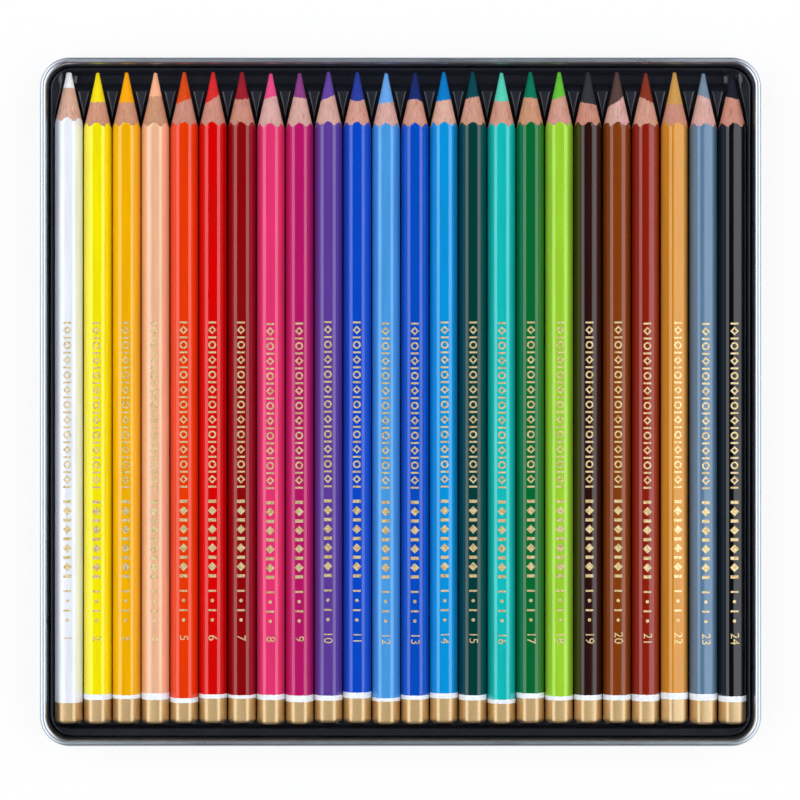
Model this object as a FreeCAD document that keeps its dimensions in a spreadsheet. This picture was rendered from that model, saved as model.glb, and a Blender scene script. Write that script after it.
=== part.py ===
import FreeCAD, Part
import math
import os
import Sketcher

# An open flat tin of sharpened colour pencils. A drawn tinplate pan with a curled rim holds a thin formed
# plastic tray, and each pencil lies in its own channel of the tray: a hexagonal wooden casing around a
# round core. Millimetres, +Z up, +X along the row of pencils, +Y towards their points. The origin is on
# the underside of the tin, at the middle of its floor.

# Each pencil in the row: colour, roll about its own length in degrees (positive turns its top towards
# +X), place along its channel in mm (positive towards the point) and the size of its tip.
PENCILS = [
    ("white", -1, 0.0, "blunt_tip_dia"),
    ("lemon", 0, -0.1, "tip_dia"),
    ("amber", 1, 0.0, "tip_dia"),
    ("peach", -2, -0.1, "tip_dia"),
    ("orange", 1, 0.1, "tip_dia"),
    ("red", 0, 0.1, "tip_dia"),
    ("crimson", -1, 0.1, "tip_dia"),
    ("pink", 0, -0.3, "tip_dia"),
    ("magenta", 0, -0.2, "tip_dia"),
    ("violet", -1, 0.2, "tip_dia"),
    ("cobalt", -1, 0.1, "tip_dia"),
    ("sky", -2, -0.2, "tip_dia"),
    ("navy", -1, -0.2, "tip_dia"),
    ("azure", 3, 0.1, "tip_dia"),
    ("pine", 1, 0.1, "tip_dia"),
    ("turquoise", 0, -0.1, "tip_dia"),
    ("forest", 0, 0.1, "tip_dia"),
    ("lime", 2, 0.1, "tip_dia"),
    ("umber", 3, 0.1, "tip_dia"),
    ("sienna", 2, 0.1, "tip_dia"),
    ("russet", 3, -0.2, "tip_dia"),
    ("ochre", 10, 0.0, "tip_dia"),
    ("slate", 5, -0.3, "tip_dia"),
    ("black", 4, -0.2, "tip_dia"),
]

# Driving sizes in mm and degrees.
SIZES = {
    # A pencil: its blank, its core and its sharpened point.
    "pencil_length": 175.0,
    "pencil_flats": 6.9,
    "edge_round": 1.7,
    "end_round": 1.2,
    "end_cover": 0.8,
    "core_dia": 3.8,
    "glue_line": 0.05,
    "point_angle": 23.2,
    "tip_dia": 1.1,
    "blunt_tip_dia": 1.7,
    # The tray: its sheet, its channels and the flat land around them.
    "tray_sheet": 0.5,
    "floor_gap": 0.1,
    "pencil_gap": 0.32,
    "channel_gap": 0.25,
    "seat_gap": 0.1,
    "ridge_drop": 0.3,
    "side_land": 1.1,
    "tip_room": 1.35,
    "heel_gap": 1.0,
    "heel_draft": 0.7,
    "heel_ledge": 1.95,
    # The groove that crosses the ridges behind the ends.
    "heel_groove": 2.6,
    "heel_groove_depth": 3.0,
    # Where a channel narrows around the point.
    "point_gap": 1.03,
    "point_flare": 4.9,
    # The trough under the tips: flat floor, sloping sides and the land outside them.
    "trough_floor": 2.4,
    "trough_floor_corner": 0.8,
    "trough_front_slope": 2.35,
    "trough_back_slope": 1.1,
    "trough_back_land": 0.6,
    "trough_end_slope": 3.35,
    "trough_end_land": 3.0,
    "trough_corner": 2.6,
    # The tin: its sheet, its bent foot and its curled rim.
    "tray_gap": 0.4,
    "tin_sheet": 0.3,
    "tin_height": 10.0,
    "tin_bend": 1.0,
    "tin_corner": 6.3,
    "curl_dia": 1.8,
    "curl_turn": 295.0,
}

# Sizes that follow from the driving ones. Heights in the tray are above the tin's floor.
FOLLOWING = {
    # From a pencil's axis to the centre of an edge's rounding, and to the rounded edge itself.
    "edge_centre": "(sizes.pencil_flats / 2 - sizes.edge_round) / cos(30)",
    "pencil_reach": "edge_centre + sizes.edge_round",
    "bore_radius": "sizes.core_dia / 2 + sizes.glue_line",
    "point_slope": "tan(sizes.point_angle / 2)",
    "pitch": "2 * pencil_reach + sizes.pencil_gap",
    "channel_radius": "pencil_reach + sizes.channel_gap",
    "channel_axis": "sizes.floor_gap + sizes.tray_sheet + channel_radius",
    "ridge": "channel_axis - sizes.ridge_drop",
    "ridge_half": "sqrt(channel_radius ^ 2 - sizes.ridge_drop ^ 2)",
    "first_channel": f"-{(len(PENCILS) - 1) / 2} * pitch",
    "tray_half_width": "ridge_half + sizes.side_land - first_channel",
    "tray_half_length": "(sizes.tip_room + sizes.pencil_length + sizes.heel_gap + sizes.heel_draft"
                        " + sizes.heel_ledge) / 2",
    "tip_place": "tray_half_length - sizes.tip_room",
    "end_place": "tip_place - sizes.pencil_length",
    "heel_slope": "sizes.heel_draft / channel_radius",
    "heel_wall_top": "end_place - sizes.heel_gap - sizes.heel_draft",
    "narrowing_slope": "tan((sizes.point_angle + sizes.point_flare) / 2)",
    "narrowing_place": "tip_place - (channel_radius - sizes.point_gap - sizes.tip_dia / 2) / point_slope",
    "trough_back": "tray_half_length - sizes.trough_back_land",
    "trough_floor_back": "trough_back - sizes.trough_back_slope",
    "trough_floor_front": "trough_floor_back - sizes.trough_floor",
    "trough_front": "trough_floor_front - sizes.trough_front_slope",
    "trough_half_width": "tray_half_width - sizes.trough_end_land",
    "trough_floor_half_width": "trough_half_width - sizes.trough_end_slope",
    "trough_depth": "ridge - sizes.tray_sheet",
    "pan_half_width": "tray_half_width + sizes.tray_gap",
    "pan_half_length": "tray_half_length + sizes.tray_gap",
    "curl_radius": "sizes.curl_dia / 2",
    "curl_height": "sizes.tin_height - curl_radius",
}

# How far a cutting shape reaches past what it cuts.
CUT_MARGIN = 1.0

doc = FreeCAD.newDocument("pencil_tin")
sheet = doc.addObject("Spreadsheet::Sheet", "sizes")
for row, (name, value) in enumerate(SIZES.items(), start=1):
    sheet.set(f"A{row}", name)
    sheet.set(f"B{row}", str(value))
    sheet.setAlias(f"B{row}", name)
doc.recompute()

derived = doc.addObject("App::VarSet", "derived")
for name, formula in FOLLOWING.items():
    derived.addProperty("App::PropertyFloat", name)
    derived.setExpression(name, formula)
doc.recompute()


# Helpers for bodies and sketches


def new_body(label):
    body = doc.addObject("PartDesign::Body", label)
    body.Label = label
    return body


def origin_part(body, role):
    return next(part for part in body.Origin.OriginFeatures if part.Role == role)


def new_sketch(body, role, name, offsets=None):
    """A sketch on one of the body's origin planes, moved by expressions in the sketch's own axes."""
    sketch = body.newObject("Sketcher::SketchObject", name)
    sketch.AttachmentSupport = [(origin_part(body, role), "")]
    sketch.MapMode = "FlatFace"
    for axis, expression in (offsets or {}).items():
        sketch.setExpression(f"AttachmentOffset.Base.{axis}", expression)
    return sketch


def place_point(sketch, geometry, end, point):
    """Tie one end of a line or an arc to a pair of expressions."""
    for kind, expression in zip(("DistanceX", "DistanceY"), point):
        value = float(sketch.evalExpression(expression))
        index = sketch.addConstraint(Sketcher.Constraint(kind, -1, 1, geometry, end, value))
        sketch.setExpression(f"Constraints[{index}]", expression)


def draw_outline(sketch, corners, arcs=None):
    """Draw a closed outline through corners, each a pair of expressions.

    arcs gives, for the side that starts at a corner's index, the arc's radius as an expression and a
    point that the arc passes, as a pair of expressions.
    """
    arcs = arcs or {}

    def vector(point):
        return FreeCAD.Vector(*(float(sketch.evalExpression(expression)) for expression in point), 0)

    sides = []
    for index, corner in enumerate(corners):
        start = vector(corner)
        finish = vector(corners[(index + 1) % len(corners)])
        if index in arcs:
            shape = Part.Arc(start, vector(arcs[index][1]), finish)
        else:
            shape = Part.LineSegment(start, finish)
        sides.append(sketch.addGeometry(shape))
    # An arc runs anticlockwise from its end 1 to its end 2, so one drawn clockwise starts at its end 2.
    ends = []
    for index, side in enumerate(sides):
        start = sketch.getPoint(side, 1)
        forwards = start.isEqual(vector(corners[index]), 1e-6)
        ends.append((1, 2) if forwards else (2, 1))
    for index, side in enumerate(sides):
        previous = index - 1
        sketch.addConstraint(
            Sketcher.Constraint("Coincident", sides[previous], ends[previous][1], side, ends[index][0])
        )
        place_point(sketch, side, ends[index][0], corners[index])
    for index, (radius, _) in arcs.items():
        value = float(sketch.evalExpression(radius))
        constraint = sketch.addConstraint(Sketcher.Constraint("Radius", sides[index], value))
        sketch.setExpression(f"Constraints[{constraint}]", radius)


def draw_rounded_rectangle(sketch, left, right, front, back, radius):
    """A rectangle with equal rounded corners, from expressions, anticlockwise from its front edge."""
    turns = [(right, front, "-", "+"), (right, back, "-", "-"), (left, back, "+", "-"), (left, front, "+", "+")]
    corners = []
    arcs = {}
    for number, (side, end, inwards_x, inwards_y) in enumerate(turns):
        along_end = (f"{side} {inwards_x} {radius}", end)
        along_side = (side, f"{end} {inwards_y} {radius}")
        middle = (
            f"{side} {inwards_x} {radius} * (1 - cos(45))",
            f"{end} {inwards_y} {radius} * (1 - cos(45))",
        )
        arcs[len(corners)] = (radius, middle)
        corners += [along_end, along_side] if number % 2 == 0 else [along_side, along_end]
    draw_outline(sketch, corners, arcs)


def pad(body, sketch, name, length, upwards=True):
    feature = body.newObject("PartDesign::Pad", name)
    feature.Profile = sketch
    feature.Reversed = not upwards
    feature.setExpression("Length", length)
    return feature


def turn(body, kind, sketch, name):
    """A full Revolution or Groove about the sketch's horizontal axis."""
    feature = body.newObject(f"PartDesign::{kind}", name)
    feature.Profile = sketch
    feature.ReferenceAxis = (sketch, ["H_Axis"])
    feature.Angle = 360
    return feature


# The tin


def make_tin():
    """A flat floor, and one bent and curled strip of the same sheet all the way round it."""
    body = new_body("tin")
    floor = new_sketch(body, "XY_Plane", "tin_floor_outline")
    floor_half_width = "(derived.pan_half_width - sizes.tin_bend)"
    floor_half_length = "(derived.pan_half_length - sizes.tin_bend)"
    draw_rounded_rectangle(
        floor,
        f"-{floor_half_width}",
        floor_half_width,
        f"-{floor_half_length}",
        floor_half_length,
        "(sizes.tin_corner - sizes.tin_bend)",
    )
    pad(body, floor, "tin_floor", "sizes.tin_sheet")

    # The wall's path along its inner face starts in the middle of the right-hand side.
    path = new_sketch(body, "XY_Plane", "tin_wall_path")
    draw_wall_path(path)

    # The strip's section: foot, wall and rim, out from the inner face.
    section = new_sketch(body, "XZ_Plane", "tin_wall_section")
    inner = "derived.pan_half_width"
    outer = f"{inner} + sizes.tin_sheet"
    foot = f"{inner} - sizes.tin_bend"
    bend_top = "sizes.tin_sheet + sizes.tin_bend"
    half_bend = "sizes.tin_bend * cos(45)"
    outer_half_bend = "(sizes.tin_bend + sizes.tin_sheet) * cos(45)"
    curl_middle = f"{inner} + derived.curl_radius"
    curl_inside = "(derived.curl_radius - sizes.tin_sheet)"
    curl_end = "(180 - sizes.curl_turn)"
    corners = [
        (foot, "0"),
        (outer, bend_top),
        (outer, "derived.curl_height"),
        (
            f"{curl_middle} + {curl_inside} * cos({curl_end})",
            f"derived.curl_height + {curl_inside} * sin({curl_end})",
        ),
        (
            f"{curl_middle} + derived.curl_radius * cos({curl_end})",
            f"derived.curl_height + derived.curl_radius * sin({curl_end})",
        ),
        (inner, "derived.curl_height"),
        (inner, bend_top),
        (foot, "sizes.tin_sheet"),
    ]
    arcs = {
        0: (
            "sizes.tin_bend + sizes.tin_sheet",
            (f"{foot} + {outer_half_bend}", f"{bend_top} - {outer_half_bend}"),
        ),
        2: (curl_inside, (curl_middle, f"derived.curl_height + {curl_inside}")),
        4: ("derived.curl_radius", (curl_middle, "sizes.tin_height")),
        6: ("sizes.tin_bend", (f"{foot} + {half_bend}", f"{bend_top} - {half_bend}")),
    }
    draw_outline(section, corners, arcs)
    doc.recompute()
    wall = body.newObject("PartDesign::AdditivePipe", "tin_wall")
    wall.Profile = section
    wall.Spine = (path, [f"Edge{number + 1}" for number in range(path.GeometryCount)])
    wall.Transition = "Transformed"
    return body


def draw_wall_path(sketch):
    """The pan's inner outline at its floor, as one closed path."""
    right = "derived.pan_half_width"
    back = "derived.pan_half_length"
    radius = "sizes.tin_corner"
    corners = [(right, "0")]
    arcs = {}
    for side, end in ((right, back), (f"-{right}", back), (f"-{right}", f"-{back}"), (right, f"-{back}")):
        towards_x = "+" if side.startswith("-") else "-"
        towards_y = "+" if end.startswith("-") else "-"
        on_side = (side, f"{end} {towards_y} {radius}")
        on_end = (f"{side} {towards_x} {radius}", end)
        middle = (
            f"{side} {towards_x} {radius} * (1 - cos(45))",
            f"{end} {towards_y} {radius} * (1 - cos(45))",
        )
        arcs[len(corners)] = (radius, middle)
        side_first = towards_x == towards_y
        corners += [on_side, on_end] if side_first else [on_end, on_side]
    draw_outline(sketch, corners, arcs)


# The tray


def make_tray_form(label, inset):
    """The form of the tray's upper face, or of its underside where inset is the sheet's thickness.

    A block is cut by every channel and by the trough, and the tray is the upper form less the under one.
    """
    body = new_body(label)
    body.setExpression("Placement.Base.z", "sizes.tin_sheet")
    is_under = inset != "0"

    block = new_sketch(body, "XY_Plane", f"{label}_outline", {"z": f"-{CUT_MARGIN}" if is_under else "0"})
    block_inset = inset if is_under else "sizes.tin_bend"
    draw_tray_outline(block, block_inset)
    top = f"derived.ridge - {inset}"
    pad(body, block, f"{label}_block", f"{top} + {CUT_MARGIN}" if is_under else top)
    if not is_under:
        # The outer skirt stops above the bent foot of the tin.
        skirt = new_sketch(body, "XY_Plane", f"{label}_skirt_outline", {"z": "sizes.tin_bend"})
        draw_tray_outline(skirt, "0")
        pad(body, skirt, f"{label}_skirt", f"{top} - sizes.tin_bend")

    # Neighbouring channels overlap, so every other one is cut first and those between them next.
    for start in (0, 1):
        cut_channels(body, label, inset, start)
    cut_heel_groove(body, label, inset)

    trough = body.newObject("PartDesign::SubtractiveLoft", f"{label}_trough")
    trough.Profile = draw_trough_level(body, f"{label}_trough_floor", "floor_", inset)
    trough.Sections = [draw_trough_level(body, f"{label}_trough_top", "", inset)]
    trough.Ruled = True
    return body


def cut_channels(body, label, inset, start):
    """Cut every second channel of the row, from the one numbered start."""
    name = f"{label}_{('odd', 'even')[start]}"
    profile = new_sketch(
        body,
        "YZ_Plane",
        f"{name}_channel_profile",
        {"y": "derived.channel_axis", "z": f"derived.first_channel + {start} * derived.pitch"},
    )
    radius = f"(derived.channel_radius + {inset})"
    # The sheet's thickness is square to the narrowing walls, and to the drafted wall behind the ends.
    narrowing_step = f"{inset} * tan((sizes.point_angle + sizes.point_flare) / 4)"
    narrowing_place = f"derived.narrowing_place + {narrowing_step}"
    channel_end = "derived.trough_floor_front"
    end_radius = f"{radius} - ({channel_end} - ({narrowing_place})) * derived.narrowing_slope"
    heel_angle = "atan(derived.heel_slope)"
    heel_step = f"{inset} * tan(45 deg - {heel_angle} / 2)"
    heel_foot = f"derived.end_place - sizes.heel_gap - {heel_step}"
    heel_top = f"{heel_foot} - {radius} * derived.heel_slope"
    draw_outline(
        profile,
        [
            (heel_top, "0"),
            (channel_end, "0"),
            (channel_end, end_radius),
            (narrowing_place, radius),
            (heel_foot, radius),
        ],
    )
    channel = turn(body, "Groove", profile, f"{name}_channel")
    row = body.newObject("PartDesign::LinearPattern", f"{name}_channels")
    row.Originals = [channel]
    row.Direction = (origin_part(body, "X_Axis"), [""])
    row.Mode = "Spacing"
    row.Occurrences = len(PENCILS[start::2])
    row.setExpression("Offset", "2 * derived.pitch")
    body.Tip = row


def cut_heel_groove(body, label, inset):
    """Cut the groove behind the ends, from the middle of the first channel to that of the last one."""
    profile = new_sketch(
        body, "YZ_Plane", f"{label}_heel_groove_profile", {"z": f"derived.first_channel - {inset}"}
    )
    # The wall behind the ends leans back, and the sheet's thickness is square to it.
    wall_top = f"derived.heel_wall_top - {inset} * sqrt(1 + derived.heel_slope ^ 2)"
    depth = f"(sizes.heel_groove_depth + {inset})"
    front = f"derived.heel_wall_top + sizes.heel_groove + {inset}"
    above = f"derived.ridge + {CUT_MARGIN}"
    draw_outline(
        profile,
        [
            (f"{wall_top} - {CUT_MARGIN} * derived.heel_slope", above),
            (f"{wall_top} + {depth} * derived.heel_slope", f"derived.ridge - {depth}"),
            (front, f"derived.ridge - {depth}"),
            (front, above),
        ],
    )
    groove = body.newObject("PartDesign::Pocket", f"{label}_heel_groove")
    groove.Profile = profile
    groove.Reversed = True
    groove.setExpression("Length", f"2 * {inset} - 2 * derived.first_channel")


def draw_tray_outline(sketch, inset):
    """The tray's outline seen from above, stepped in all round."""
    half_width = f"(derived.tray_half_width - {inset})"
    half_length = f"(derived.tray_half_length - {inset})"
    radius = f"(sizes.tin_corner - sizes.tray_gap - {inset})"
    draw_rounded_rectangle(sketch, f"-{half_width}", half_width, f"-{half_length}", half_length, radius)


def draw_trough_level(body, name, level, inset):
    """The trough's outline at its floor or at its top edge, with the sheet square to each sloping side."""

    def step(run):
        return f"{inset} * tan(45 deg - atan(sizes.{run} / derived.trough_depth) / 2)"

    height = "sizes.tray_sheet" if level else "derived.ridge"
    sketch = new_sketch(body, "XY_Plane", name, {"z": f"{height} - {inset}"})
    half_width = f"(derived.trough_{level}half_width + {step('trough_end_slope')})"
    front = f"derived.trough_{level}front - {step('trough_front_slope')}"
    back = f"derived.trough_{level}back + {step('trough_back_slope')}"
    radius = f"(sizes.trough_{level}corner + {step('trough_end_slope')})"
    draw_rounded_rectangle(sketch, f"-{half_width}", half_width, front, back, radius)
    return sketch


def make_tray():
    """One thin sheet: what is left between the form of its upper face and that of its underside."""
    upper = make_tray_form("tray_upper_form", "0")
    under = make_tray_form("tray_under_form", "sizes.tray_sheet")
    tray = doc.addObject("Part::Cut", "insert_tray")
    tray.Label = "insert_tray"
    tray.Base = upper
    tray.Tool = under
    return tray


# The pencils: each lies along +Y from the middle of its end, with a flat face up


def make_casing(colour, tip):
    """A rounded hexagon of wood, sharpened at its front, rounded at its end and bored from its front."""
    body = new_body(f"casing_{colour}")
    hexagon = new_sketch(body, "XZ_Plane", f"{colour}_hexagon")
    corners = []
    arcs = {}
    for edge in range(6):
        direction = 60 * edge
        arcs[len(corners)] = (
            "sizes.edge_round",
            (f"derived.pencil_reach * cos({direction})", f"derived.pencil_reach * sin({direction})"),
        )
        for normal in (direction - 30, direction + 30):
            corners.append(
                (
                    f"derived.edge_centre * cos({direction}) + sizes.edge_round * cos({normal})",
                    f"derived.edge_centre * sin({direction}) + sizes.edge_round * sin({normal})",
                )
            )
    draw_outline(hexagon, corners, arcs)
    blank = pad(body, hexagon, f"{colour}_blank", "sizes.pencil_length", upwards=False)
    doc.recompute()

    # The rounding of the end stays inside the rounding of the long edges.
    end_face = min(blank.Shape.Faces, key=lambda face: face.CenterOfGravity.y)
    end_edges = [
        f"Edge{number}"
        for number, edge in enumerate(blank.Shape.Edges, start=1)
        if any(edge.isSame(outline) for outline in end_face.Edges)
    ]
    rounding = body.newObject("PartDesign::Fillet", f"{colour}_end_rounding")
    rounding.Base = (blank, end_edges)
    rounding.setExpression("Radius", "min(sizes.end_round; 0.95 * sizes.edge_round)")

    point = new_sketch(body, "YZ_Plane", f"{colour}_outside_of_point")
    outside = f"derived.pencil_reach + {CUT_MARGIN}"
    shoulder = f"sizes.pencil_length - ({outside} - sizes.{tip} / 2) / derived.point_slope"
    draw_outline(
        point,
        [
            ("sizes.pencil_length", f"sizes.{tip} / 2"),
            ("sizes.pencil_length", outside),
            (shoulder, outside),
        ],
    )
    turn(body, "Groove", point, f"{colour}_sharpening")

    bore = new_sketch(body, "YZ_Plane", f"{colour}_bore_profile")
    bore_front = f"sizes.pencil_length + {CUT_MARGIN}"
    draw_outline(
        bore,
        [
            ("sizes.end_cover", "0"),
            (bore_front, "0"),
            (bore_front, "derived.bore_radius"),
            ("sizes.end_cover", "derived.bore_radius"),
        ],
    )
    turn(body, "Groove", bore, f"{colour}_bore")
    return body


def make_core(colour, tip):
    """A round rod of pigment, sharpened on the same cone as its casing."""
    body = new_body(f"core_{colour}")
    profile = new_sketch(body, "YZ_Plane", f"{colour}_core_profile")
    radius = "sizes.core_dia / 2"
    cone_start = f"sizes.pencil_length - ({radius} - sizes.{tip} / 2) / derived.point_slope"
    end = "sizes.end_cover + sizes.glue_line"
    draw_outline(
        profile,
        [
            (end, "0"),
            ("sizes.pencil_length", "0"),
            ("sizes.pencil_length", f"sizes.{tip} / 2"),
            (cone_start, radius),
            (end, radius),
        ],
    )
    turn(body, "Revolution", profile, f"{colour}_rod")
    return body


def seat_drop(roll):
    """How far a pencil's axis lies below its channel's axis, with its lowest edge on the channel."""
    lowest_edge = math.radians(30 - abs(roll))
    reach = derived.channel_radius - sheet.edge_round - sheet.seat_gap
    return math.sqrt(reach**2 - (derived.edge_centre * math.sin(lowest_edge)) ** 2) - (
        derived.edge_centre * math.cos(lowest_edge)
    )


def place_pencil(piece, number, roll, along):
    axis_height = sheet.tin_sheet + derived.channel_axis - seat_drop(roll)
    place = FreeCAD.Vector(
        derived.first_channel + number * derived.pitch,
        derived.end_place + along,
        axis_height,
    )
    piece.Placement = FreeCAD.Placement(place, FreeCAD.Rotation(FreeCAD.Vector(0, 1, 0), roll))


# Build everything


pieces = [make_tin(), make_tray()]
for number, (colour, roll, along, tip) in enumerate(PENCILS):
    for piece in (make_casing(colour, tip), make_core(colour, tip)):
        place_pencil(piece, number, roll, along)
        pieces.append(piece)
doc.recompute()

failed = [item.Name for item in doc.Objects if "Invalid" in item.State or "Error" in item.State]
if failed:
    raise RuntimeError(f"these did not rebuild: {failed}")
for piece in pieces:
    if piece.Shape.isNull() or not piece.Shape.isValid():
        raise RuntimeError(f"{piece.Label} has no valid shape")
    if len(piece.Shape.Solids) != 1:
        raise RuntimeError(f"{piece.Label} has {len(piece.Shape.Solids)} solids")

os.makedirs("parts", exist_ok=True)
for piece in pieces:
    piece.Shape.exportStep(os.path.join("parts", f"{piece.Label}.step"))
box = FreeCAD.BoundBox()
for piece in pieces:
    box.add(piece.Shape.optimalBoundingBox(True, False))
print(f"{len(pieces)} pieces, {box.XLength:.2f} by {box.YLength:.2f} by {box.ZLength:.2f} mm")
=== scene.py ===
# %% [markdown]
# # An open tin of colour pencils
#
# The real object is a flat pan drawn from tinplate, with its rim curled outwards so that it has no sharp
# edge. A thin sheet of black plastic, vacuum formed into a row of channels, lies in the pan, and
# twenty-four sharpened hexagonal pencils lie in the channels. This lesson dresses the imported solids: it
# reads the places and main sizes of the pieces from them, and adds what is too fine for a solid.

# %% Load the frame
import math
from typing import NamedTuple

import bmesh
import bpy
import numpy as np
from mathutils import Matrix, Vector


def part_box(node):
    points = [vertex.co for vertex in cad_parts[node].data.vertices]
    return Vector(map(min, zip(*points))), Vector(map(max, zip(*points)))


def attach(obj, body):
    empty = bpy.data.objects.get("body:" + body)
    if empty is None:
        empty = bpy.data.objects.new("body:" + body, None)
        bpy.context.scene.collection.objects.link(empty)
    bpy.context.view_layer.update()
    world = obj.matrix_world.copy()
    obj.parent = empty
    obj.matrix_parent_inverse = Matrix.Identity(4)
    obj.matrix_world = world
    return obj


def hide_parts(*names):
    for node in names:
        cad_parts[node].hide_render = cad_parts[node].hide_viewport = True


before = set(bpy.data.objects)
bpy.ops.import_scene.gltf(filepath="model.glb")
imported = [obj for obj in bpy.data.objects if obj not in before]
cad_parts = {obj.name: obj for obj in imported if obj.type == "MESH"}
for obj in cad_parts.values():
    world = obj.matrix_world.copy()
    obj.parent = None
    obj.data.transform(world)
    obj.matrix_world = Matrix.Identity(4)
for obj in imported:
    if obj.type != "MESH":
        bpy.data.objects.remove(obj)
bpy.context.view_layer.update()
MM = 0.001

# %% [markdown]
# ## What each pencil looks like
#
# Every pencil has its own lacquer and its own core. A sharpener is never quite centred, so the line where
# the core leaves the wood differs from pencil to pencil: it has a mean distance from the tip, may run
# further back on its left side than on its right, and may bulge in the middle. The dipped ends differ in
# length too, because the racks of pencils hang unevenly in the bath. All lengths are in millimetres.

# %% The finish of each pencil
FINISHES = {
    # colour: lacquer, pigment, board, bare core, left side further, middle further, white band, gold dip
    "white": ("F0F2F6", "F7F6F2", "sand", 4.3, 0.0, 0.0, 0.0, 5.6),
    "lemon": ("FDEC00", "F8E010", "tan", 7.9, 0.0, 0.2, 1.6, 6.4),
    "amber": ("FAB400", "FFAA08", "tan", 8.2, 0.0, 0.1, 1.1, 6.6),
    "peach": ("F4BA92", "FDB48C", "tan", 6.5, 0.1, 0.0, 1.9, 6.4),
    "orange": ("F03A00", "DC4A14", "brown", 7.8, 0.8, 0.2, 1.4, 5.4),
    "red": ("DC0000", "DC2A2C", "brown", 7.4, 1.3, 0.1, 1.2, 6.6),
    "crimson": ("8E0206", "9B1B28", "brown", 7.0, 0.1, 0.6, 1.0, 6.6),
    "pink": ("EA3570", "E84C86", "pale", 6.6, 0.5, 0.0, 1.5, 6.6),
    "magenta": ("BA1464", "8C3C80", "pale", 6.6, -0.2, 0.2, 1.9, 5.9),
    "violet": ("5C3C94", "63449C", "pale", 7.1, 0.8, 0.1, 1.5, 5.9),
    "cobalt": ("0448C4", "2A3C98", "rosy", 7.1, 0.0, 0.9, 1.7, 6.6),
    "sky": ("4A9CE0", "68A4E4", "pale", 8.2, 0.3, 0.0, 1.0, 6.1),
    "navy": ("024CBE", "182A68", "rosy", 7.9, -0.2, -0.7, 1.2, 6.6),
    "azure": ("0496DC", "027AC4", "sand", 7.7, 0.3, 0.1, 1.5, 6.6),
    "pine": ("003A36", "004650", "rosy", 7.0, 0.4, 0.0, 1.5, 6.1),
    "turquoise": ("10BEB8", "58D0B4", "rosy", 7.5, 0.0, 0.4, 1.2, 5.4),
    "forest": ("02682F", "027656", "tan", 7.1, -0.2, 0.0, 1.5, 6.6),
    "lime": ("A0D630", "66C038", "rosy", 6.9, 0.7, 0.1, 1.2, 6.1),
    "umber": ("2A0E08", "343339", "brown", 8.6, -0.4, 0.1, 1.5, 6.1),
    "sienna": ("843C0A", "58403A", "pale", 7.9, 1.5, 0.2, 1.5, 6.1),
    "russet": ("8E1C06", "883320", "rosy", 7.3, -0.9, 0.1, 1.9, 6.1),
    "ochre": ("D08A20", "CC9850", "brown", 8.7, 0.0, 0.1, 1.9, 6.4),
    "slate": ("5C7C98", "768B9E", "pale", 6.3, -0.6, 0.2, 1.9, 6.4),
    "black": ("040407", "1C1F29", "brown", 6.7, -0.4, 0.3, 1.7, 5.9),
}
print("Finishes for", len(FINISHES), "pencils")

# %% [markdown]
# ## Camera
#
# The photograph looks straight down on the tin from about three quarters of a metre, with a long lens, so
# the walls hardly show. The camera stands a little off the tin's middle, as the picture's framing needs.

# %% The camera looks straight down
CAMERA_HEIGHT = 756.6 * MM
CAMERA_OFF_MIDDLE = (-0.15 * MM, 0.47 * MM)
LENS = 125.7
SENSOR = 36.0


def new_object(name, data):
    """A new object in the scene that holds this data."""
    item = bpy.data.objects.new(name, data)
    bpy.context.scene.collection.objects.link(item)
    return item


camera = new_object("camera", bpy.data.cameras.new("camera"))
camera.location = (*CAMERA_OFF_MIDDLE, CAMERA_HEIGHT)
camera.data.lens = LENS
camera.data.sensor_width = SENSOR
bpy.context.scene.camera = camera
print("Camera at", [round(value, 4) for value in camera.location])

# %% [markdown]
# ## Colours and nodes
#
# Colours are written as the eye sees them, in sRGB hex, and one function turns them to the linear values
# that shaders use. One more small function adds a node, sets what it is given and links it, so that every
# material below reads as a list of what it is made of.

# %% Helpers for colours and nodes


def linear(code):
    """A colour such as "F03A00" as linear red, green, blue and alpha."""
    shares = [int(code[place:place + 2], 16) / 255 for place in (0, 2, 4)]
    return (*(c / 12.92 if c <= 0.04045 else ((c + 0.055) / 1.055) ** 2.4 for c in shares), 1.0)


def shade(colour, shares, lift=0.0):
    """A linear colour with each channel times its share, plus a lift, and never brighter than white."""
    return (*(min(1.0, share * value + lift) for share, value in zip(shares, colour)), 1.0)


def set_stops(ramp, stops):
    """Gives a colour ramp its places and colours, as pairs."""
    elements = ramp.color_ramp.elements
    while len(elements) < len(stops):
        elements.new(1.0)
    for element, (place, colour) in zip(elements, stops):
        element.position = place
        element.color = colour


def add_node(tree, kind, settings=None, links=None):
    """Adds a node, sets its properties, inputs or colour stops, and links its inputs.

    A link is an output, a node whose first output is meant, or a list of these for an input that takes many.
    """
    node = tree.nodes.new(kind)
    for name, value in (settings or {}).items():
        if name == "stops":
            set_stops(node, value)
        elif isinstance(name, str) and hasattr(node, name):
            setattr(node, name, value)
        else:
            node.inputs[name].default_value = value
    for name, sources in (links or {}).items():
        for source in sources if isinstance(sources, list) else [sources]:
            output = source.outputs[0] if isinstance(source, bpy.types.Node) else source
            tree.links.new(output, node.inputs[name])
    return node


print("Red as linear light:", [round(value, 3) for value in linear("DC0000")])

# %% [markdown]
# ## Light
#
# The bright lines along every pencil say how it was lit: two large softboxes, one on the left and one on
# the right, reaching from near the horizon almost to the camera, which sits in the dark gap between them.
# A flat upper face mirrors that gap and shows its own colour, and a rounded edge mirrors a softbox. Two dim
# cards at the front and back keep the rim from going black there.

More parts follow.
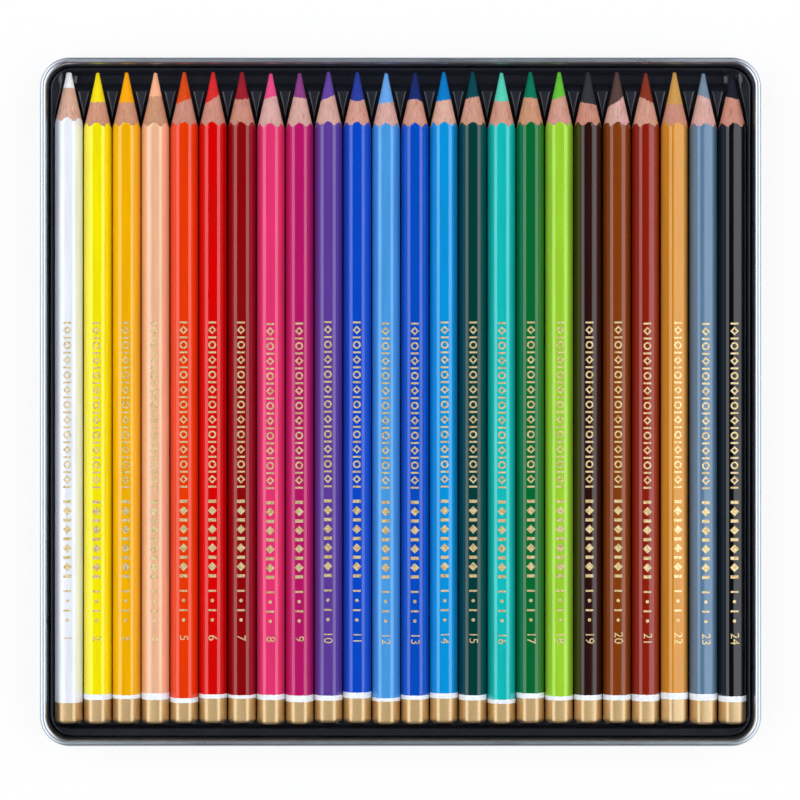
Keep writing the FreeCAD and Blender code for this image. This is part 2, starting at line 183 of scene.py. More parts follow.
# %% Softboxes and cards
LAMP_COLOUR = "F7FAFF"
SOFTBOX_RADIANCE = 2.02
SOFTBOX_TILT = 45
SOFTBOX_DISTANCE = 1.7
SOFTBOX_SIZE = (1.9, 3.4)
BACK_CARD_RADIANCE = 0.16
FRONT_CARD_RADIANCE = 0.03
CARD_TILT = 62
CARD_DISTANCE = 1.9
CARD_SIZE = (1.2, 2.0)


def add_light(name, size, radiance, tilt, distance, turn):
    """A rectangular lamp that faces the tin, tilted off the vertical and turned about it, in degrees."""
    tilt, turn = math.radians(tilt), math.radians(turn)
    data = bpy.data.lights.new(name, "AREA")
    data.shape = "RECTANGLE"
    data.size, data.size_y = size
    data.energy = radiance * math.pi * size[0] * size[1]
    data.color = linear(LAMP_COLOUR)[:3]
    lamp = new_object(name, data)
    lamp.rotation_euler = (0, tilt, turn)
    across = math.sin(tilt) * distance
    lamp.location = (math.cos(turn) * across, math.sin(turn) * across, math.cos(tilt) * distance)
    lamp.visible_camera = False


for side, turn in (("right", 0), ("left", 180)):
    add_light(f"softbox_{side}", SOFTBOX_SIZE, SOFTBOX_RADIANCE, SOFTBOX_TILT, SOFTBOX_DISTANCE, turn)
for side, turn, radiance in (("back", 90, BACK_CARD_RADIANCE), ("front", 270, FRONT_CARD_RADIANCE)):
    add_light(f"card_{side}", CARD_SIZE, radiance, CARD_TILT, CARD_DISTANCE, turn)

# %% [markdown]
# The room is dark, so the gap between the softboxes stays dark too. The floor is a sheet of paper that is
# white to the eye and in mirrors, and still takes a faint shadow: its material mixes plain paper with a
# glow that only the eye and mirrors see.

# %% The dark room and the white floor
ROOM_COLOUR = "26282C"
PAPER_COLOUR = "F4F4F4"
FLOOR_HALF = 6.0
FLOOR_DROP = 0.2 * MM
WHITE_SHARE = 0.85

world = bpy.data.worlds.new("dark_studio")
bpy.context.scene.world = world
world.use_nodes = True
background = world.node_tree.nodes["Background"]
background.inputs["Color"].default_value = linear(ROOM_COLOUR)
background.inputs["Strength"].default_value = 1.0
bpy.context.scene.view_settings.view_transform = "Standard"

floor_mesh = bpy.data.meshes.new("floor")
floor_corners = ((-1, -1), (1, -1), (1, 1), (-1, 1))
floor_mesh.from_pydata(
    [(x * FLOOR_HALF, y * FLOOR_HALF, -FLOOR_DROP) for x, y in floor_corners], [], [(0, 1, 2, 3)]
)
floor = new_object("floor", floor_mesh)


def make_floor_paper():
    """A paper sweep: diffuse where light falls on it, white where the eye or a mirror sees it."""
    material = bpy.data.materials.new("white_paper_sweep")
    material.use_nodes = True
    tree = material.node_tree
    tree.nodes.clear()
    path = add_node(tree, "ShaderNodeLightPath")
    seen = path.outputs["Is Camera Ray"]
    for kind in ("Is Glossy Ray", "Is Transmission Ray"):
        seen = add_node(tree, "ShaderNodeMath", {"operation": "MAXIMUM"}, {0: seen, 1: path.outputs[kind]})
    share = add_node(tree, "ShaderNodeMath", {"operation": "MULTIPLY", 1: WHITE_SHARE}, {0: seen})
    paper = add_node(tree, "ShaderNodeBsdfDiffuse", {"Color": linear(PAPER_COLOUR)})
    glow = add_node(tree, "ShaderNodeEmission", {"Color": linear("FFFFFF"), "Strength": 1.0})
    mixed = add_node(tree, "ShaderNodeMixShader", links={0: share, 1: paper, 2: glow})
    add_node(tree, "ShaderNodeOutputMaterial", links={"Surface": mixed})
    return material


floor_mesh.materials.append(make_floor_paper())
print("Floor of", 2 * FLOOR_HALF, "m with", floor_mesh.materials[0].name)

# %% [markdown]
# ## How a material is made
#
# Every finish here has the same parts: a pattern that shades its colour, a pattern that raises its surface
# a little, and the gloss of the stuff it is made of. One function builds these parts, so that each material
# below says only what makes it different. Patterns read the place on the object, their widths are in
# millimetres, and a pattern may be stretched, as grain is along a pencil.

# %% One function for every finish


class Pattern(NamedTuple):
    """A pattern on a surface: its width in millimetres, its detail, its stretch and how it is drawn."""

    width: float
    detail: float = 0.0
    stretch: tuple = (1, 1, 1)
    roughness: float = 0.5
    kind: str = "ShaderNodeTexNoise"
    shading: str = "Fac"


def make_finish(name, pattern, stops, relief, gloss, raising=None, dulling=None, tinting=None,
                raised=("Normal",)):
    """A material with a pattern that runs through colour stops, a relief and a gloss.

    relief: its strength and its depth in millimetres; another pattern than the first may be raising it
    dulling: a pattern, the range of it that counts, and the roughness at both ends of that range
    tinting: a pattern and its colour stops, which multiply the colour
    raised: the inputs of the shader that feel the relief
    """
    material = bpy.data.materials.new(name)
    material.use_nodes = True
    tree = material.node_tree
    tree.nodes.clear()
    place = add_node(tree, "ShaderNodeTexCoord").outputs["Object"]

    def drawn(pattern):
        """The node that draws a pattern."""
        stretched = add_node(tree, "ShaderNodeMapping", {"Scale": pattern.stretch}, {"Vector": place})
        return add_node(tree, pattern.kind, {
            "Scale": 1 / (pattern.width * MM), "Detail": pattern.detail, "Roughness": pattern.roughness,
        }, {"Vector": stretched})

    base = drawn(pattern)
    colour = add_node(tree, "ShaderNodeValToRGB", {"stops": stops}, {"Fac": base.outputs[pattern.shading]})
    if tinting:
        tint = add_node(tree, "ShaderNodeValToRGB", {"stops": tinting[1]}, {"Fac": drawn(tinting[0])})
        multiply = {"data_type": "RGBA", "blend_type": "MULTIPLY", 0: 1.0}
        colour = add_node(tree, "ShaderNodeMix", multiply, {6: colour, 7: tint}).outputs[2]
    bump = add_node(tree, "ShaderNodeBump", {"Strength": relief[0], "Distance": relief[1] * MM}, {
        "Height": drawn(raising) if raising else base})
    inputs = {"Base Color": colour, **{socket: bump for socket in raised}}
    if dulling:
        dull_pattern, (low, high), (smooth, dull) = dulling
        inputs["Roughness"] = add_node(
            tree, "ShaderNodeMapRange", {1: low, 2: high, 3: smooth, 4: dull}, {0: drawn(dull_pattern)})
    shader = add_node(tree, "ShaderNodeBsdfPrincipled", gloss, inputs)
    add_node(tree, "ShaderNodeOutputMaterial", links={"Surface": shader})
    return material


print("A pattern has", len(Pattern._fields), "settings:", *Pattern._fields)

# %% [markdown]
# ## Gloss lacquer
#
# A pencil gets several dips of nitrocellulose lacquer: thin, hard and glossy, with a faint orange peel
# where it dried. Its colour is even, but a coat that thin lets a little of the wood's grain show as a
# slow change of depth. A clear coat over a coloured base gives the sharp bright lines.

# %% Lacquer, one for each pencil
FLOW = Pattern(1.6, 3.0, (1, 0.08, 1))
ORANGE_PEEL = Pattern(0.7, 2.0)
THIN_COAT = 0.9
GLOSS_TINT = 1.6


def make_lacquer(colour, code):
    """Dipped nitrocellulose lacquer: even colour, sharp gloss, faint orange peel."""
    full = linear(code)
    stops = [(0.35, shade(full, [THIN_COAT] * 3, 0.002)), (0.62, full)]
    # Pigment close under the clear coat tints a second, softer gloss.
    gloss = {
        "Roughness": 0.12, "Specular IOR Level": 0.8, "Specular Tint": shade(full, [GLOSS_TINT] * 3),
        "Coat Weight": 1.0, "Coat Roughness": 0.07, "Coat IOR": 1.58,
    }
    return make_finish(f"dipped_lacquer_{colour}", FLOW, stops, (0.08, 0.02), gloss, raising=ORANGE_PEEL,
                       raised=("Normal", "Coat Normal"))


lacquers = {colour: make_lacquer(colour, finish[0]) for colour, finish in FINISHES.items()}
print("Lacquers:", len(lacquers))

# %% [markdown]
# ## Pigment core
#
# The core is pigment in wax and clay, pressed through a die. Sharpened, it is matt with a slight waxy
# sheen, has fine scrape lines and is a little grainy.

# %% Pigment, one for each pencil
PIGMENT_GRAIN = Pattern(0.28, 4.0)
SCRAPES = Pattern(0.2, 2.0, (1, 0.12, 1))
DARK_GRAIN = 0.78
PALE_GRAIN = 1.06


def make_pigment(colour, code):
    """Pressed pigment and wax: matt, grainy, scraped by the sharpener."""
    full = linear(code)
    stops = [(0.3, shade(full, [DARK_GRAIN] * 3)), (0.52, full), (0.75, shade(full, [PALE_GRAIN] * 3, 0.006))]
    gloss = {"Roughness": 0.55, "Specular IOR Level": 0.07}
    return make_finish(
        f"pressed_pigment_{colour}", PIGMENT_GRAIN, stops, (0.35, 0.05), gloss, raising=SCRAPES)


pigments = {colour: make_pigment(colour, finish[1]) for colour, finish in FINISHES.items()}
print("Pigments:", len(pigments))

# %% [markdown]
# ## Cedar
#
# The casing is incense cedar, with fine dark grain lines along its length and lighter early wood between
# them. The slats of one box come from different boards, from sandy to brown, so there are five.

# %% Cedar, one for each board
BOARDS = {"sand": "DCB3A0", "pale": "DAB0AA", "rosy": "D4A08F", "tan": "D09A7C", "brown": "CE9280"}
WOOD_GRAIN = Pattern(0.45, 5.0, (1, 0.06, 1), roughness=0.6)
WOOD_DRIFT = Pattern(9.0, 1.0)
LATE_WOOD = (0.55, 0.45, 0.40)
BETWEEN_WOOD = (0.92, 0.87, 0.84)
EARLY_WOOD = (1.14, 1.2, 1.24)


def make_cedar(board, code):
    """Incense cedar cut across by a sharpener: grain along the pencil, satin at most."""
    wood = linear(code)
    late, between, early = (shade(wood, shares) for shares in (LATE_WOOD, BETWEEN_WOOD, EARLY_WOOD))
    stops = [(0.30, late), (0.41, between), (0.58, wood), (0.75, early)]
    drift = [(0.35, linear("F6EEE0")), (0.65, linear("FFF4F2"))]
    return make_finish(
        f"cedar_{board}", WOOD_GRAIN, stops, (0.4, 0.05), {"Roughness": 0.62}, tinting=(WOOD_DRIFT, drift))


cedars = {board: make_cedar(board, code) for board, code in BOARDS.items()}
print("Cedars:", list(cedars))

# %% [markdown]
# ## White band, gold dip and foil
#
# At its end each pencil has a band of white paint and a dip of bronze powder lacquer, which scatters light
# from many tiny flakes. The marks on the barrel are hot foil: thin, bright and a little broken where the
# stamp met the lacquer unevenly.

# %% Paint, bronze and foil
PAINT_COVER = Pattern(1.1, 3.0)
# Real flakes are too fine to show, so these are drawn coarser.
FLAKES = Pattern(0.16, kind="ShaderNodeTexVoronoi", shading="Color")
FOIL_CRUMPLE = Pattern(0.5, 3.0)


def make_band_paint():
    """White dipping paint: thick, bright, slightly uneven."""
    stops = [(0.3, linear("E4E7EC")), (0.6, linear("F5F7FA"))]
    return make_finish("white_band_paint", PAINT_COVER, stops, (0.15, 0.03), {"Roughness": 0.3})


def make_gold_dip():
    """Bronze powder lacquer: flakes that glint, broad soft gloss."""
    stops = [(0.1, linear("CDAC76")), (0.9, linear("DCBC8A"))]
    # Seen edge on, the resin between the flakes browns the metal.
    gloss = {
        "Metallic": 1.0, "Roughness": 0.5, "Specular Tint": linear("8A5A20"),
        "Coat Weight": 1.0, "Coat Roughness": 0.08, "Coat IOR": 1.58,
    }
    return make_finish("bronze_powder_dip", FLAKES, stops, (0.1, 0.01), gloss)


def make_foil():
    """Hot stamped gold foil: mirror bright, a little crumpled and worn."""
    stops = [(0.3, linear("C8A25A")), (0.6, linear("F6E2B0"))]
    return make_finish(
        "gold_foil", FOIL_CRUMPLE, stops, (0.5, 0.05), {"Metallic": 1.0, "Roughness": 0.45})


band_paint = make_band_paint()
gold_dip = make_gold_dip()
foil = make_foil()
print("Made", band_paint.name, gold_dip.name, foil.name)

# %% [markdown]
# ## Tinplate and formed plastic
#
# Tinplate is cold rolled steel with a bright tin coat: a mirror broken by fine rolling lines, with soft
# smudges from handling. The tray is polystyrene sheet, black all through, drawn hot over a mould, which
# leaves a glossy skin that is a little smoother in some places than in others.

# %% Tinplate and polystyrene
ROLLING_LINES = Pattern(0.12, 3.0, (0.02, 1, 1))
SMUDGES = Pattern(14.0, 4.0)
TINPLATE_ROUGH = (0.27, 0.33)
SKIN_GRAIN = Pattern(0.35, 3.0)
DRAW_WAVES = Pattern(6.0, 2.0)
TRAY_ROUGH = (0.14, 0.22)


def make_tinplate():
    """Cold rolled tinplate: bright, with rolling lines and handling smudges."""
    stops = [(0.3, linear("C2C8D0")), (0.7, linear("CED4DC"))]
    return make_finish("rolled_tinplate", ROLLING_LINES, stops, (0.03, 0.01), {"Metallic": 1.0},
                       dulling=(SMUDGES, (0.3, 0.75), TINPLATE_ROUGH))


def make_tray_plastic():
    """Vacuum formed black polystyrene: glossy skin, fine grain, slow waves from the draw."""
    stops = [(0.3, linear("1F2128")), (0.7, linear("282A33"))]
    return make_finish("black_polystyrene", SKIN_GRAIN, stops, (0.12, 0.02), {"IOR": 1.55},
                       dulling=(DRAW_WAVES, (0.3, 0.7), TRAY_ROUGH))


tinplate = make_tinplate()
tray_plastic = make_tray_plastic()
print("Made", tinplate.name, tray_plastic.name)

# %% [markdown]
# ## Growing and finishing meshes
#
# What follows a path or repeats is grown by a node tree with named inputs. The helpers below make such a
# tree, set its inputs by their identifiers, and turn the grown result into a plain mesh. More helpers make
# a mesh from points, join loops of points, turn faces outwards, smooth a mesh and tie a piece to its body.

# %% Helpers for grown pieces


def new_growth(name, **inputs):
    """A geometry tree, and the outputs that carry its named inputs, each given the kind of its socket."""
    tree = bpy.data.node_groups.new(name, "GeometryNodeTree")
    for label, kind in inputs.items():
        tree.interface.new_socket(label, in_out="INPUT", socket_type=f"NodeSocket{kind}")
    tree.interface.new_socket("Geometry", in_out="OUTPUT", socket_type="NodeSocketGeometry")
    return tree, add_node(tree, "NodeGroupInput").outputs


def end_growth(tree, geometry, material):
    """Ends a tree: instances made real, material set."""
    real = add_node(tree, "GeometryNodeRealizeInstances", links={0: geometry})
    painted = add_node(tree, "GeometryNodeSetMaterial", links={0: real, "Material": material})
    add_node(tree, "NodeGroupOutput", links={0: painted})


def grow(tree, name, **values):
    """Runs a tree with these values of its inputs and gives an object that holds the plain mesh."""
    host = new_object(name, bpy.data.meshes.new(f"{name}_seed"))
    modifier = host.modifiers.new(tree.name, "NODES")
    modifier.node_group = tree
    for item in tree.interface.items_tree:
        if item.in_out == "INPUT":
            modifier[item.identifier] = values[item.name]
    grown = bpy.data.meshes.new_from_object(host.evaluated_get(bpy.context.evaluated_depsgraph_get()))
    seed = host.data
    host.modifiers.clear()
    host.data = grown
    bpy.data.meshes.remove(seed)
    grown.name = name
    return host


print("Trees can be made, ended and grown")

# %% Helpers that make and finish a mesh
MERGE_DISTANCE = 0.0005 * MM


def new_mesh(name, points, faces, materials):
    """A mesh from points in millimetres, with its materials."""
    mesh = bpy.data.meshes.new(name)
    mesh.from_pydata([tuple(point) for point in points * MM], [], faces)
    for material in materials:
        mesh.materials.append(material)
    return mesh


def faces_between(first, second):
    """The faces between two closed loops of point numbers."""
    return list(zip(first, np.roll(first, -1), np.roll(second, -1), second))


def face_outwards(mesh):
    """Merges doubles, turns every face of a closed mesh outwards and counts the edges left open."""
    work = bmesh.new()
    work.from_mesh(mesh)
    bmesh.ops.remove_doubles(work, verts=work.verts, dist=MERGE_DISTANCE)
    bmesh.ops.recalc_face_normals(work, faces=work.faces)
    open_edges = sum(not edge.is_manifold for edge in work.edges)
    work.to_mesh(mesh)
    work.free()
    return open_edges


def smooth_mesh(mesh, crease):
    """Makes a mesh smooth, with edges sharper than this angle in degrees left crisp."""
    mesh.polygons.foreach_set("use_smooth", np.ones(len(mesh.polygons), bool))
    mesh.set_sharp_from_angle(angle=math.radians(crease))
    mesh.update()


def dress(piece, node, body):
    """Lets a piece ride on its body and stand for a CAD node, which it hides."""
    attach(piece, body)
    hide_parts(node)


print("Points closer than", MERGE_DISTANCE / MM, "mm are merged")

# %% [markdown]
# ## The tin
#
# A press draws the pan in one stroke and a second tool rolls its edge outwards into a curl. Its wall is
# one section that runs all the way round, so the section is swept along the rounded outline. The section
# is an open line, up the inside and down the outside of the sheet, and the two loops that it leaves at the
# floor are filled, which closes the shell.

# %% The section of the wall
TIN_SHEET = 0.3
TIN_BEND = 1.0
TIN_CORNER = 6.3
CURL_RADIUS = 0.9
CURL_TURN = 295
BEND_STEPS = 8
CURL_STEPS = 40
CURL_INNER_STEPS = 32

tin_low, tin_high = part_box("tin")
# The wall's inner face stands one curl inside the rim.
wall_half_width = tin_high.x - 2 * CURL_RADIUS * MM
wall_half_length = tin_high.y - 2 * CURL_RADIUS * MM
tin_height = tin_high.z / MM


def arc(middle, radius, start, end, steps):
    """Points on an arc, from one angle in degrees to another."""
    angles = np.radians(np.linspace(start, end, steps + 1))
    return [(middle[0] + radius * math.cos(angle), middle[1] + radius * math.sin(angle)) for angle in angles]


def wall_section():
    """Points along the sheet's section, outwards from the wall's inner face, in millimetres."""
    bend = (-TIN_BEND, TIN_SHEET + TIN_BEND)
    curl = (CURL_RADIUS, tin_height - CURL_RADIUS)
    lip = 180 - CURL_TURN
    inner_up = arc(bend, TIN_BEND, -90, 0, BEND_STEPS)
    over = arc(curl, CURL_RADIUS, 180, lip, CURL_STEPS)
    back = arc(curl, CURL_RADIUS - TIN_SHEET, lip, 180, CURL_INNER_STEPS)
    outer_down = arc(bend, TIN_BEND + TIN_SHEET, 0, -90, BEND_STEPS)
    return inner_up + over + back + outer_down


section_curve = bpy.data.curves.new("wall_section", "CURVE")
section_curve.dimensions = "3D"
section_points = wall_section()
spline = section_curve.splines.new("POLY")
spline.points.add(len(section_points) - 1)
for point, (across, up) in zip(spline.points, section_points):
    # A swept section's second axis points down.
    point.co = (across * MM, -up * MM, 0, 1)
section = new_object("wall_section", section_curve)
print("The wall's section has", len(section_points), "points")

# %% The tree that sweeps the section round the outline
CORNER_STEPS = 24
SEAM_DISTANCE = 0.001 * MM

tin_tree, given = new_growth(
    "drawn_tin", Section="Object", Width="Float", Length="Float", Corner="Float", Sheet="Float",
    Metal="Material")
outline = add_node(tin_tree, "GeometryNodeCurvePrimitiveQuadrilateral", links={
    "Width": given["Width"], "Height": given["Length"]})
rounded = add_node(tin_tree, "GeometryNodeFilletCurve", {"mode": "POLY", "Count": CORNER_STEPS}, {
    "Curve": outline, "Radius": given["Corner"]})
profile = add_node(tin_tree, "GeometryNodeObjectInfo", links={"Object": given["Section"]})
wall = add_node(tin_tree, "GeometryNodeCurveToMesh", links={
    "Curve": rounded, "Profile Curve": profile.outputs["Geometry"]})
# The two open loops at the floor, told apart by their height.
neighbours = add_node(tin_tree, "GeometryNodeInputMeshEdgeNeighbors")
is_open = add_node(
    tin_tree, "FunctionNodeCompare", {"data_type": "INT", "operation": "EQUAL", "B": 1}, {"A": neighbours})
place = add_node(tin_tree, "GeometryNodeInputPosition")
height = add_node(tin_tree, "ShaderNodeSeparateXYZ", links={0: place})
half_sheet = add_node(tin_tree, "ShaderNodeMath", {"operation": "MULTIPLY", 1: 0.5}, {0: given["Sheet"]})
is_upper = add_node(
    tin_tree, "FunctionNodeCompare", {"data_type": "FLOAT", "operation": "GREATER_THAN"},
    {0: height.outputs["Z"], 1: half_sheet})
shell = [wall]
for logic, lift in (("AND", given["Sheet"]), ("NIMPLY", None)):
    loop = add_node(tin_tree, "FunctionNodeBooleanMath", {"operation": logic}, {0: is_open, 1: is_upper})
    edge = add_node(tin_tree, "GeometryNodeMeshToCurve", links={0: wall, 1: loop})
    plate = add_node(tin_tree, "GeometryNodeFillCurve", {"mode": "NGONS"}, {0: edge})
    if lift:
        rise = add_node(tin_tree, "ShaderNodeCombineXYZ", links={"Z": lift})
        plate = add_node(tin_tree, "GeometryNodeTransform", links={0: plate, "Translation": rise})
    shell.append(plate)
joined = add_node(tin_tree, "GeometryNodeJoinGeometry", links={0: shell})
merged = add_node(tin_tree, "GeometryNodeMergeByDistance", {"Distance": SEAM_DISTANCE}, {0: joined})
end_growth(tin_tree, merged, given["Metal"])
print("The tin's tree has", len(tin_tree.nodes), "nodes")

# %% Grow the tin
TIN_CREASE = 40

tin = grow(
    tin_tree, "drawn_tin", Section=section, Width=2 * wall_half_width, Length=2 * wall_half_length,
    Corner=TIN_CORNER * MM, Sheet=TIN_SHEET * MM, Metal=tinplate)
bpy.data.objects.remove(section)
loose = face_outwards(tin.data)
smooth_mesh(tin.data, TIN_CREASE)
dress(tin, "tin", "tin")
print("The tin has", len(tin.data.polygons), "faces and", loose, "open edges")

# %% [markdown]
# ## The pencils' places
#
# Each pencil's axis, roll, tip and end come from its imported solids. The hexagon looks the same turned half
# round, so the middle of its box is its axis, and its largest upper face gives its roll.

# %% Measure each pencil in the frame
UPWARDS = 0.9


def measure_pencil(colour):
    """Axis place, roll, tip, end and section sizes of a pencil, from its packed casing and core."""
    low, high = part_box(f"casing_{colour}")
    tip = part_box(f"core_{colour}")[1].y
    axis = Vector(((low.x + high.x) / 2, 0, (low.z + high.z) / 2))
    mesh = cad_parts[f"casing_{colour}"].data
    top = max((face for face in mesh.polygons if face.normal.z > UPWARDS), key=lambda face: face.area)
    normal = top.normal
    radial = [Vector((vertex.co.x - axis.x, 0, vertex.co.z - axis.z)) for vertex in mesh.vertices]
    flat = max(vector.dot(normal) for vector in radial)
    reach = max(vector.length for vector in radial)
    # The rounding of an edge, from how far it falls short of a sharp hexagon's corner.
    corner = 1 / math.cos(math.radians(30))
    rounding = (flat * corner - reach) / (corner - 1)
    return {
        "x": axis.x, "z": axis.z, "roll": math.atan2(normal.x, normal.z), "tip": tip, "end": low.y,
        "flat": flat, "reach": reach, "rounding": rounding,
    }


pencils = {colour: measure_pencil(colour) for colour in FINISHES}
for colour in ("white", "ochre"):
    print(colour, {name: round(value / MM, 2) for name, value in pencils[colour].items() if name != "roll"},
          "roll", round(math.degrees(pencils[colour]["roll"]), 1))

# %% [markdown]
# ## The shape of a pencil
#
# A pencil is a stack of rings around its axis: the rounded tip, the slightly hollow cone that a machine
# sharpener leaves, the ragged scallops where the cone breaks through the lacquer, the long barrel, the
# band, the dip and the rounded end. Building the rings along those lines keeps every border crisp, because
# the mesh's own edges follow it. The faces of the barrel are very slightly crowned, as dipped wood is.

# %% The section and the cone
FLAT_STEPS = 4
EDGE_STEPS = 8
FACE_CROWN = 0.03
SIDE_ROUND = 1.1
TIP_RADIUS = 0.4
CONE_SLOPE = 0.1915
CONE_HOLLOW = 0.002
WAVES = np.arange(4, 34)
WAVE_HEIGHTS = (0.2, 1.0)


def section_angles(flat, rounding):
    """Angles round the section, from the middle of the top face, close together on the rounded edges."""
    half_flat = (flat - rounding) * math.tan(math.radians(30))
    turn_in = math.degrees(math.atan2(half_flat, flat))
    on_flat = np.linspace(-turn_in, turn_in, FLAT_STEPS + 1)[:-1]
    on_edge = np.linspace(turn_in, 60 - turn_in, EDGE_STEPS + 1)[:-1]
    return np.radians(np.concatenate([np.concatenate([on_flat, on_edge]) + 60 * face for face in range(6)]))


def section_radius(angles, flat, rounding):
    """Distance from the axis to the rounded, slightly crowned hexagon, all in millimetres."""
    sixth = math.radians(60)
    # The two edges at the sides are crisper than the others.
    rounding = np.where(np.abs(np.sin(angles)) > math.cos(sixth / 2), SIDE_ROUND, rounding)
    off_face = np.abs((angles + sixth / 2) % sixth - sixth / 2)
    middle = (flat - rounding) / math.cos(sixth / 2)
    off_edge = sixth / 2 - off_face
    half_flat = middle * math.sin(sixth / 2)
    along_flat = np.minimum(flat * np.tan(off_face) / half_flat, 1)
    crown = FACE_CROWN * (1 - along_flat**2)
    on_flat = flat / np.cos(off_face)
    under_root = np.maximum(rounding**2 - (middle * np.sin(off_edge)) ** 2, 0)
    on_edge = middle * np.cos(off_edge) + np.sqrt(under_root)
    return np.where(along_flat < 1, on_flat, on_edge) + crown - FACE_CROWN


def cone_radius(back):
    """Radius of the sharpened cone, this far back from a sharp tip."""
    return TIP_RADIUS + CONE_SLOPE * back + CONE_HOLLOW * back**2


def cone_place(radius):
    """How far back from a sharp tip the cone has this radius."""
    root = np.sqrt(CONE_SLOPE**2 + 4 * CONE_HOLLOW * (radius - TIP_RADIUS))
    return (root - CONE_SLOPE) / (2 * CONE_HOLLOW)


def ragged(angles, draw, size):
    """A ragged line round the pencil: waves with drawn heights and phases."""
    heights = draw.uniform(*WAVE_HEIGHTS, len(WAVES))
    phases = draw.uniform(0, 2 * math.pi, len(WAVES))
    line = sum(h * np.sin(n * angles + p) for n, h, p in zip(WAVES, heights, phases))
    return size * line / np.abs(line).max()


print("The cone is 6.6 mm across", round(float(cone_place(3.3)), 2), "mm behind a sharp tip")

# %% Rings into a closed mesh


def close_rings(name, angles, course, materials):
    """A closed mesh from a course of rings, each a place, a radius and the finish of the faces after it."""
    rings = []
    for back, radius, _ in course:
        back = np.broadcast_to(back, angles.shape)
        rings.append(np.column_stack([radius * np.sin(angles), -back, radius * np.cos(angles)]))
    finishes = [finish for _, _, finish in course]
    count = len(angles)
    points = np.vstack([*rings, rings[0].mean(0), rings[-1].mean(0)])
    loops = np.arange(len(rings) * count).reshape(-1, count)
    faces = []
    slots = []
    for first, second, finish in zip(loops[:-1], loops[1:], finishes):
        faces += faces_between(first, second)
        slots += [finish] * count
    # A pole closes each end.
    ends = ((loops[0, ::-1], finishes[0]), (loops[-1], finishes[-1]))
    for pole, (loop, finish) in enumerate(ends, start=loops.size):
        faces += list(zip([pole] * count, loop, np.roll(loop, -1)))
        slots += [finish] * count
    mesh = new_mesh(name, points, faces, materials)
    mesh.polygons.foreach_set("material_index", slots)
    face_outwards(mesh)
    return mesh


def place_on_axis(mesh, pencil):
    """Moves a mesh built about its own axis, tip at zero, to its pencil's place and roll."""
    count = len(mesh.vertices)
    local = np.empty(count * 3)
    mesh.vertices.foreach_get("co", local)
    local = local.reshape(count, 3)
    cosine, sine = math.cos(pencil["roll"]), math.sin(pencil["roll"])
    placed = np.column_stack([
        pencil["x"] + cosine * local[:, 0] + sine * local[:, 2],
        pencil["tip"] + local[:, 1],
        pencil["z"] - sine * local[:, 0] + cosine * local[:, 2],
    ])
    mesh.vertices.foreach_set("co", placed.ravel())
    mesh.update()


print("Rings become closed meshes")

# %% [markdown]
# ## Casings and cores
#
# The casing and the core share the line where the core leaves the wood, so one function draws the lines of
# a pencil and makes both pieces. The casing carries four finishes on one mesh: cedar, lacquer, white band
# and gold dip. The core is the whole rod, of which only the point shows.

# %% The course of the rings along a core
TIP_ROUND = 0.3
TIP_FULLNESS = 0.8
CORE_RADIUS = 1.9
CORE_SHORT = 0.05
END_COVER = 0.8
# How far behind the tip the bore and the core's rod start.
ROD_START = 20.0
TIP_STEPS = 5
CONE_STEPS = 8


def core_course(core_line, cut, length):
    """The core, from its rounded tip along the cone, then down its bore."""
    course = []
    tip_radius = cone_radius(cut + TIP_ROUND)
    for turn in np.radians(np.linspace(0, 90, TIP_STEPS + 1)[1:]):
        radius = tip_radius * math.sin(turn) ** TIP_FULLNESS
        course.append((TIP_ROUND * (1 - math.cos(turn)), radius, 0))
    for share in np.linspace(0, 1, CONE_STEPS + 1)[1:]:
        back = TIP_ROUND + (core_line - TIP_ROUND) * share
        course.append((back, cone_radius(back + cut), 0))
    for back in (ROD_START, length - END_COVER - CORE_SHORT):
        course.append((back, CORE_RADIUS, 0))
    return course


print("A core ends", round(END_COVER + CORE_SHORT, 2), "mm before its pencil does")

# %% The course of the rings along a casing
BORE_RADIUS = 1.95
# How far behind the tip the barrel is whole.
BARREL_START = 24.0
LACQUER_EDGE = 0.03
LACQUER_THIN = 0.02
BAND_COAT = 0.04
BAND_SHOULDER = 0.08
GOLD_SINK = 0.01
GOLD_STEP = 0.05
GOLD_TAPER = 0.02
END_ROUND = 1.2
END_STEPS = 6
LACQUER_SHARES = (0.0, 0.03, 0.15, 0.45, 1.0)
BARREL_SHARES = (0.25, 0.5, 0.75, 1.0)
CEDAR, LACQUER, BAND, GOLD = range(4)


def casing_course(hexagon, lines, has_band, cut, length):
    """The casing, from the bottom of its bore forwards to the core's line, then back along its outside."""
    core_line, lacquer_line, band_line, dip_line = lines
    course = [(length - END_COVER, BORE_RADIUS, CEDAR), (ROD_START, BORE_RADIUS, CEDAR)]
    for share in np.linspace(0, 1, CONE_STEPS + 1):
        back = core_line + (lacquer_line - core_line) * share
        course.append((back, cone_radius(back + cut), CEDAR if share < 1 else LACQUER))
    for share in LACQUER_SHARES:
        back = lacquer_line + LACQUER_EDGE + (BARREL_START - lacquer_line) * share
        course.append((back, hexagon if share else hexagon - LACQUER_THIN, LACQUER))
    after_barrel = BAND if has_band else GOLD
    for share in BARREL_SHARES:
        back = BARREL_START + (band_line - BARREL_START) * share
        course.append((back, hexagon, LACQUER if share < 1 else after_barrel))
    if has_band:
        for share, finish in ((BAND_SHOULDER, BAND), (1 - BAND_SHOULDER, GOLD)):
            course.append((band_line + (dip_line - band_line) * share, hexagon + BAND_COAT, finish))
        course.append((dip_line, hexagon - GOLD_SINK, GOLD))
    course.append((dip_line + GOLD_STEP, hexagon - GOLD_SINK, GOLD))
    for turn in np.radians(np.linspace(0, 90, END_STEPS + 1)):
        radius = hexagon - GOLD_TAPER - END_ROUND * (1 - math.cos(turn))
        course.append((length - END_ROUND * (1 - math.sin(turn)), radius, GOLD))
    return course


print("The bore is", round(BORE_RADIUS - CORE_RADIUS, 2), "mm wider all round than its core")

